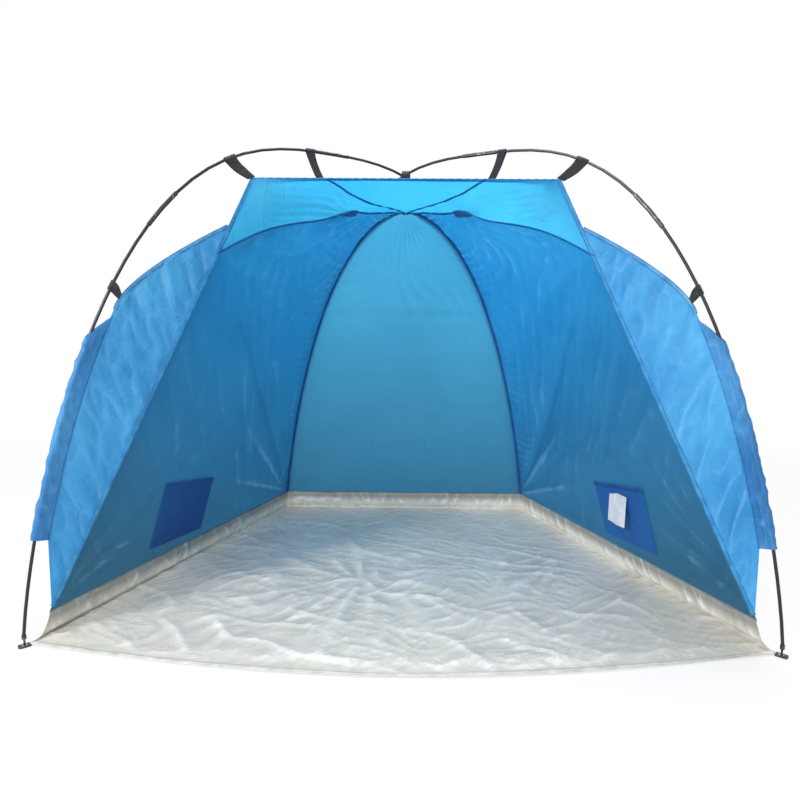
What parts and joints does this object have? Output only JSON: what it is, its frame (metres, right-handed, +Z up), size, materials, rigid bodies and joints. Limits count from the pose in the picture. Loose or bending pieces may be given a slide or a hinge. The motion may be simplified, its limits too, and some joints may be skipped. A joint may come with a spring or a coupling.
{
  "type": "beach tent",
  "caption": "Open-fronted beach tent: a hung cloth canopy under two crossing bent poles, with a groundsheet, side pockets and webbing straps.",
  "frame": {"origin": "on the ground under the groundsheet, midway between the four pole feet", "axes": "+Z up, +X to the right as seen from the front, and the open front faces -Y"},
  "size_m": [2.0718, 1.3332, 1.4045],
  "materials": {
    "roof_cloth": "thin coated polyester, bright sky blue, slightly crinkled",
    "wall_cloth": "thin coated polyester seen in shade, blue",
    "sleeve_cloth": "doubled coated polyester, blue",
    "pocket_cloth": "doubled polyester, royal blue",
    "sheet_cloth": "woven polyethylene sheet, silver grey, shiny and creased",
    "webbing": "flat woven black webbing",
    "pole": "black glass-fibre tube",
    "steel": "plated steel",
    "elastic": "braided elastic cord",
    "label": "white woven tag, blank"
  },
  "bodies": {
    "tent": {"back_wall": "roof_cloth", "corner_tab_front_left": "webbing", "corner_tab_front_right": "webbing", "corner_tab_rear_left": "webbing", "corner_tab_rear_right": "webbing", "crossing_strap": "webbing", "end_strap_left": "webbing", "end_strap_right": "webbing", "eyelet_front_left": "steel", "eyelet_front_right": "steel", "eyelet_rear_left": "steel", "eyelet_rear_right": "steel", "ferrule_left_1": "steel", "ferrule_left_2": "steel", "ferrule_left_3": "steel", "ferrule_left_4": "steel", "ferrule_left_5": "steel", "ferrule_right_1": "steel", "ferrule_right_2": "steel", "ferrule_right_3": "steel", "ferrule_right_4": "steel", "ferrule_right_5": "steel", "front_sleeve_left": "sleeve_cloth", "front_sleeve_right": "sleeve_cloth", "front_wing_left": "roof_cloth", "front_wing_right": "roof_cloth", "groundsheet": "sheet_cloth", "middle_strap_left": "webbing", "middle_strap_right": "webbing", "pocket_left": "pocket_cloth", "pocket_right": "pocket_cloth", "pole_left_section_1": "pole", "pole_left_section_2": "pole", "pole_left_section_3": "pole", "pole_left_section_4": "pole", "pole_left_section_5": "pole", "pole_left_section_6": "pole", "pole_right_section_1": "pole", "pole_right_section_2": "pole", "pole_right_section_3": "pole", "pole_right_section_4": "pole", "pole_right_section_5": "pole", "pole_right_section_6": "pole", "rear_sleeve_left": "sleeve_cloth", "rear_sleeve_right": "sleeve_cloth", "roof_panel": "roof_cloth", "shock_cord_left": "elastic", "shock_cord_right": "elastic", "side_tab_left": "webbing", "side_tab_right": "webbing", "side_wall_left": "wall_cloth", "side_wall_right": "wall_cloth", "tip_left_front": "steel", "tip_left_rear": "steel", "tip_right_front": "steel", "tip_right_rear": "steel"},
    "tag_flap": {"tag": "label"}
  },
  "joints": [
    {"name": "tag_hinge", "type": "hinge", "parent": "tent", "child": "tag_flap", "pos_m": [0.7173, -0.1119, 0.2965], "axis": [-0.3188, 0.9478, 0], "range_deg": [-5, 140]}
  ]
}
